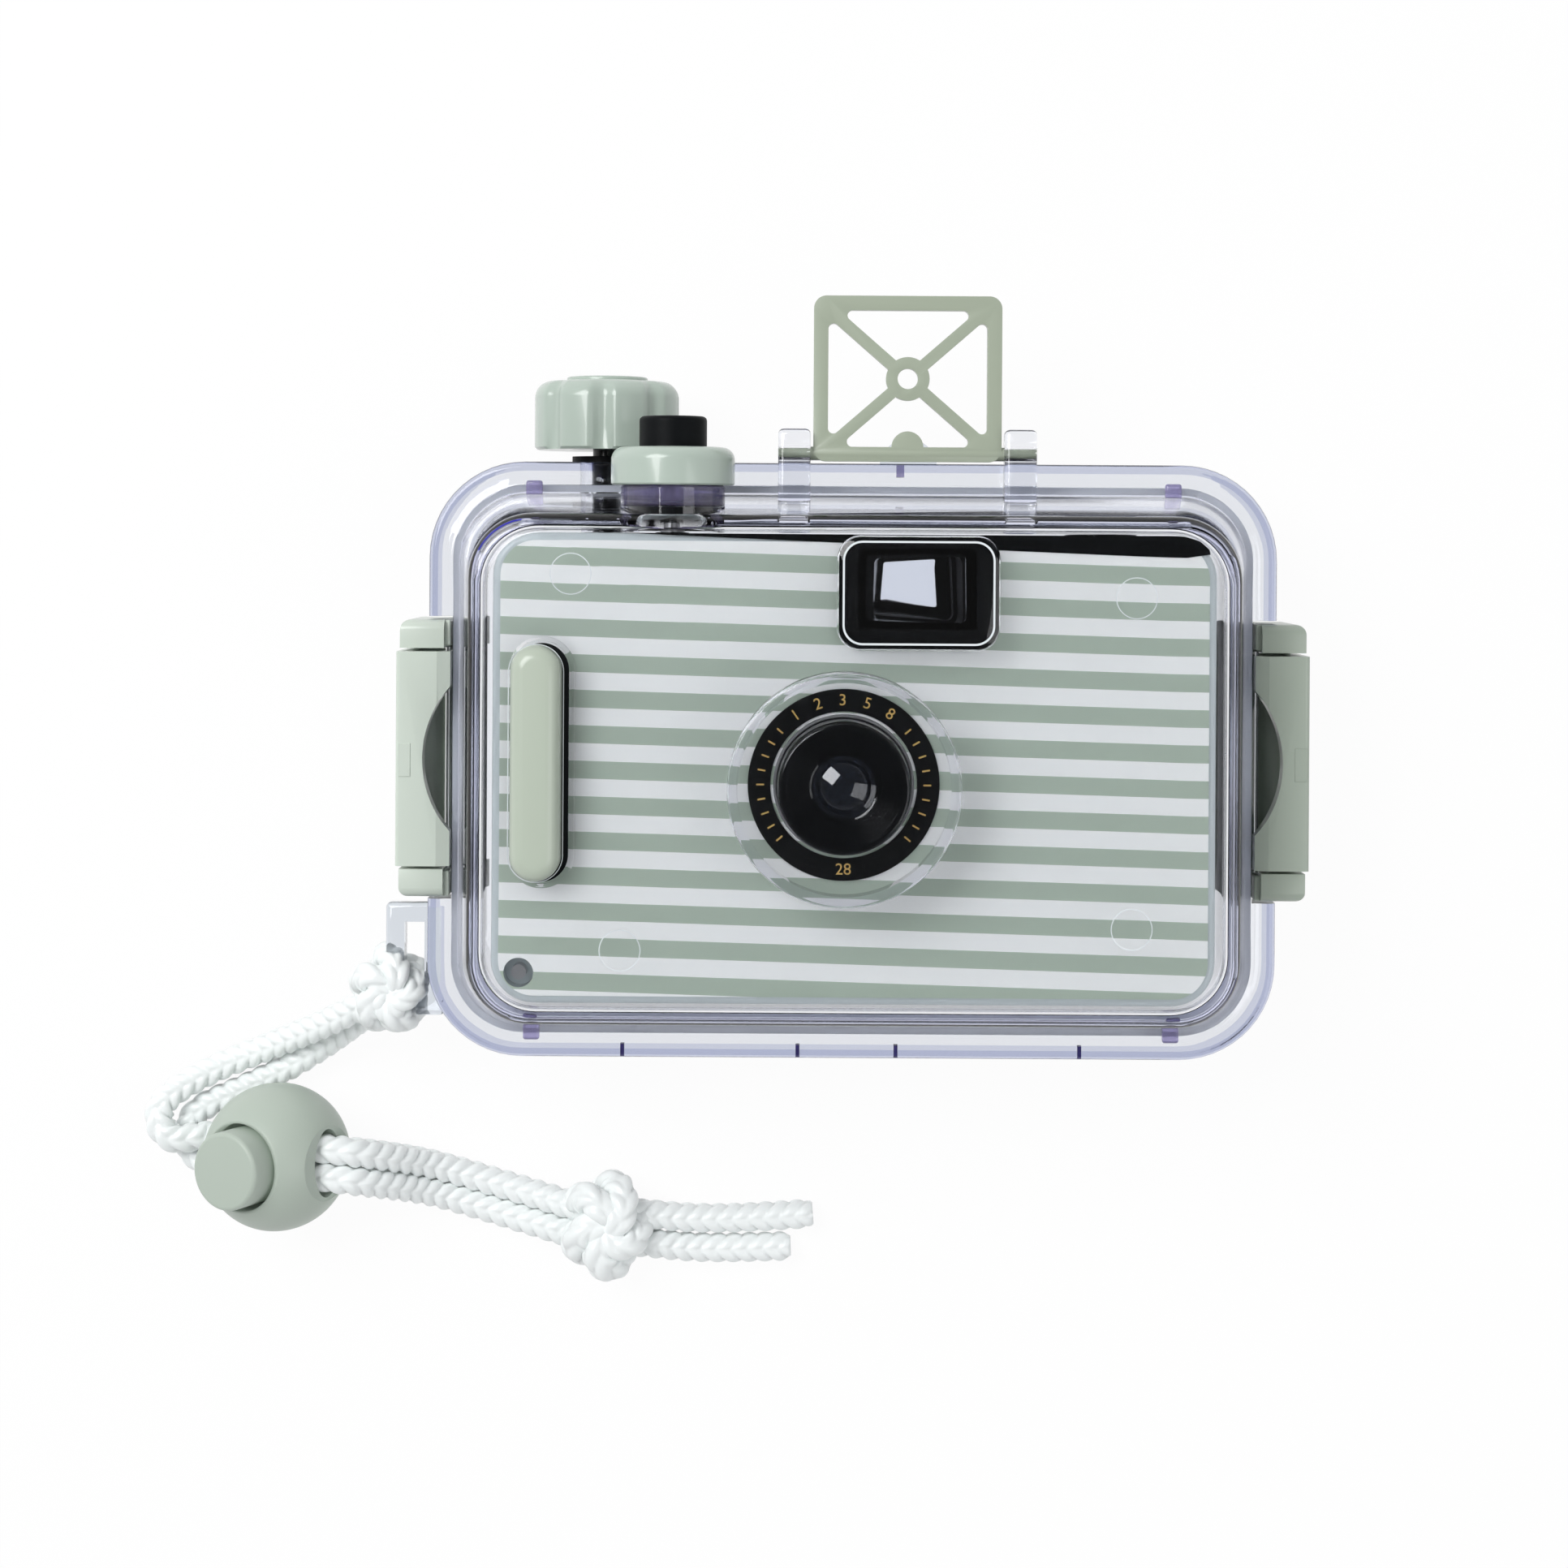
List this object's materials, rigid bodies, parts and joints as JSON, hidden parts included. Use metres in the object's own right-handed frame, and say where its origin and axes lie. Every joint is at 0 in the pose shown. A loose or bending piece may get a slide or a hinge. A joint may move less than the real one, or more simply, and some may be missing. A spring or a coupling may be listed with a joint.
{
  "type": "underwater film camera",
  "caption": "Film camera in a clear waterproof case with side latches, winding knob, shutter button, folding sports finder and a wrist cord with a lock",
  "frame": {"origin": "middle of the case's flat rear face, which lies on the table", "axes": "+Z the way the lens looks, +Y the camera's top with the winding knob, +X to the right as seen from the front"},
  "size_m": [0.1805, 0.1544, 0.048],
  "materials": {
    "clear_plastic": "polished and clear",
    "pale_green_plastic": "polished",
    "dark_green_plastic": "polished",
    "black_plastic": "fine grain",
    "black_rubber": "matt",
    "steel": "drawn",
    "striped_foil": "printed in stripes",
    "glass": "clear",
    "film_stock": "smooth",
    "white_cord": "braided",
    "white_plastic": "smooth"
  },
  "bodies": {
    "case": {"rear_case": "clear_plastic", "front_case": "clear_plastic", "case_gasket": "black_rubber", "grip_backing": "black_plastic", "grip_bar": "pale_green_plastic", "wind_seal": "black_rubber", "shutter_collar": "pale_green_plastic", "release_seal": "black_rubber", "release_spring": "steel", "left_latch_bracket": "pale_green_plastic", "left_latch_pin": "steel", "right_latch_bracket": "dark_green_plastic", "right_latch_pin": "steel", "camera_body": "black_plastic", "camera_back_door": "black_plastic", "front_cover": "white_plastic", "striped_panel": "striped_foil", "lens_ring": "black_plastic", "strap_pin": "steel", "finder_tunnel": "black_plastic", "finder_front_lens": "glass", "finder_rear_lens": "glass", "lens_barrel": "black_plastic", "front_lens": "glass", "rear_lens": "glass", "lens_stop": "black_plastic", "film_cassette": "steel", "film_strip": "film_stock", "pressure_plate": "black_plastic", "plate_spring": "steel", "cord_lock_ball": "pale_green_plastic", "cord_lock_spring": "steel", "cord_strand_a": "white_cord", "cord_strand_b": "white_cord", "hitch_knot": "white_cord", "end_knot": "white_cord"},
    "left_latch": {"left_latch_clip": "pale_green_plastic"},
    "right_latch": {"right_latch_clip": "dark_green_plastic"},
    "sports_finder": {"sports_finder_frame": "pale_green_plastic"},
    "winder": {"wind_knob": "pale_green_plastic", "wind_shaft": "black_plastic", "retaining_ring": "steel"},
    "take_up": {"thumbwheel": "black_plastic", "take_up_spool": "black_plastic"},
    "sprocket": {"sprocket_roller": "black_plastic"},
    "rewinder": {"rewind_knob": "black_plastic", "cassette_spool": "black_plastic"},
    "counter": {"counter_dial": "white_plastic"},
    "release": {"shutter_cap": "black_rubber", "release_rod": "steel"},
    "camera_release": {"camera_button": "black_plastic"},
    "shutter": {"shutter_blade": "black_plastic"},
    "cord_lock_press": {"cord_lock_button": "pale_green_plastic"}
  },
  "joints": [
    {"name": "left_latch_swing", "type": "hinge", "parent": "case", "child": "left_latch", "pos_m": [-0.0664, 0.0002, 0.0116], "axis": [0, -1, 0], "range_deg": [0, 110]},
    {"name": "right_latch_swing", "type": "hinge", "parent": "case", "child": "right_latch", "pos_m": [0.0664, 0.0002, 0.0116], "axis": [0, 1, 0], "range_deg": [0, 110]},
    {"name": "finder_fold", "type": "hinge", "parent": "case", "child": "sports_finder", "pos_m": [0.008, 0.0469, 0.0254], "axis": [1, 0, 0], "range_deg": [-90, 0]},
    {"name": "wind_turn", "type": "hinge", "parent": "case", "child": "winder", "pos_m": [-0.0384, 0.05, 0.012], "axis": [0, 1, 0], "continuous": true},
    {"name": "take_up_turn", "type": "hinge", "parent": "case", "child": "take_up", "pos_m": [-0.0384, 0, 0.012], "axis": [0, 1, 0], "continuous": true},
    {"name": "sprocket_turn", "type": "hinge", "parent": "case", "child": "sprocket", "pos_m": [-0.0249, 0, 0.0139], "axis": [0, 1, 0], "continuous": true},
    {"name": "rewind_turn", "type": "hinge", "parent": "case", "child": "rewinder", "pos_m": [0.038, 0, 0.018], "axis": [0, 1, 0], "continuous": true},
    {"name": "counter_turn", "type": "hinge", "parent": "case", "child": "counter", "pos_m": [-0.012, 0.0345, 0.02], "axis": [0, 1, 0], "continuous": true},
    {"name": "shutter_press", "type": "slide", "parent": "case", "child": "release", "axis": [0, -1, 0], "range_m": [0, 0.0022], "stiffness_N_per_m": 300, "springref_m": -0.003, "deforming": ["release_spring"]},
    {"name": "camera_button_press", "type": "slide", "parent": "case", "child": "camera_release", "axis": [0, -1, 0], "range_m": [0, 0.0022]},
    {"name": "shutter_blade_swing", "type": "hinge", "parent": "case", "child": "shutter", "pos_m": [-0.0095, 0.00375, 0.0341], "axis": [0, 0, 1], "range_deg": [0, 42]},
    {"name": "cord_lock_push", "type": "slide", "parent": "case", "child": "cord_lock_press", "axis": [0.4695, 0, -0.8829], "range_m": [0, 0.002], "stiffness_N_per_m": 600, "springref_m": -0.003, "deforming": ["cord_lock_spring"]}
  ],
  "couplings": [
    {"joint": "take_up_turn", "follows": "wind_turn", "ratio": 1},
    {"joint": "sprocket_turn", "follows": "wind_turn", "ratio": 1.05},
    {"joint": "rewind_turn", "follows": "wind_turn", "ratio": 0.66},
    {"joint": "counter_turn", "follows": "wind_turn", "ratio": 0.026},
    {"joint": "camera_button_press", "follows": "shutter_press", "ratio": 1},
    {"joint": "shutter_blade_swing", "follows": "shutter_press", "rad_per_m": 330}
  ]
}
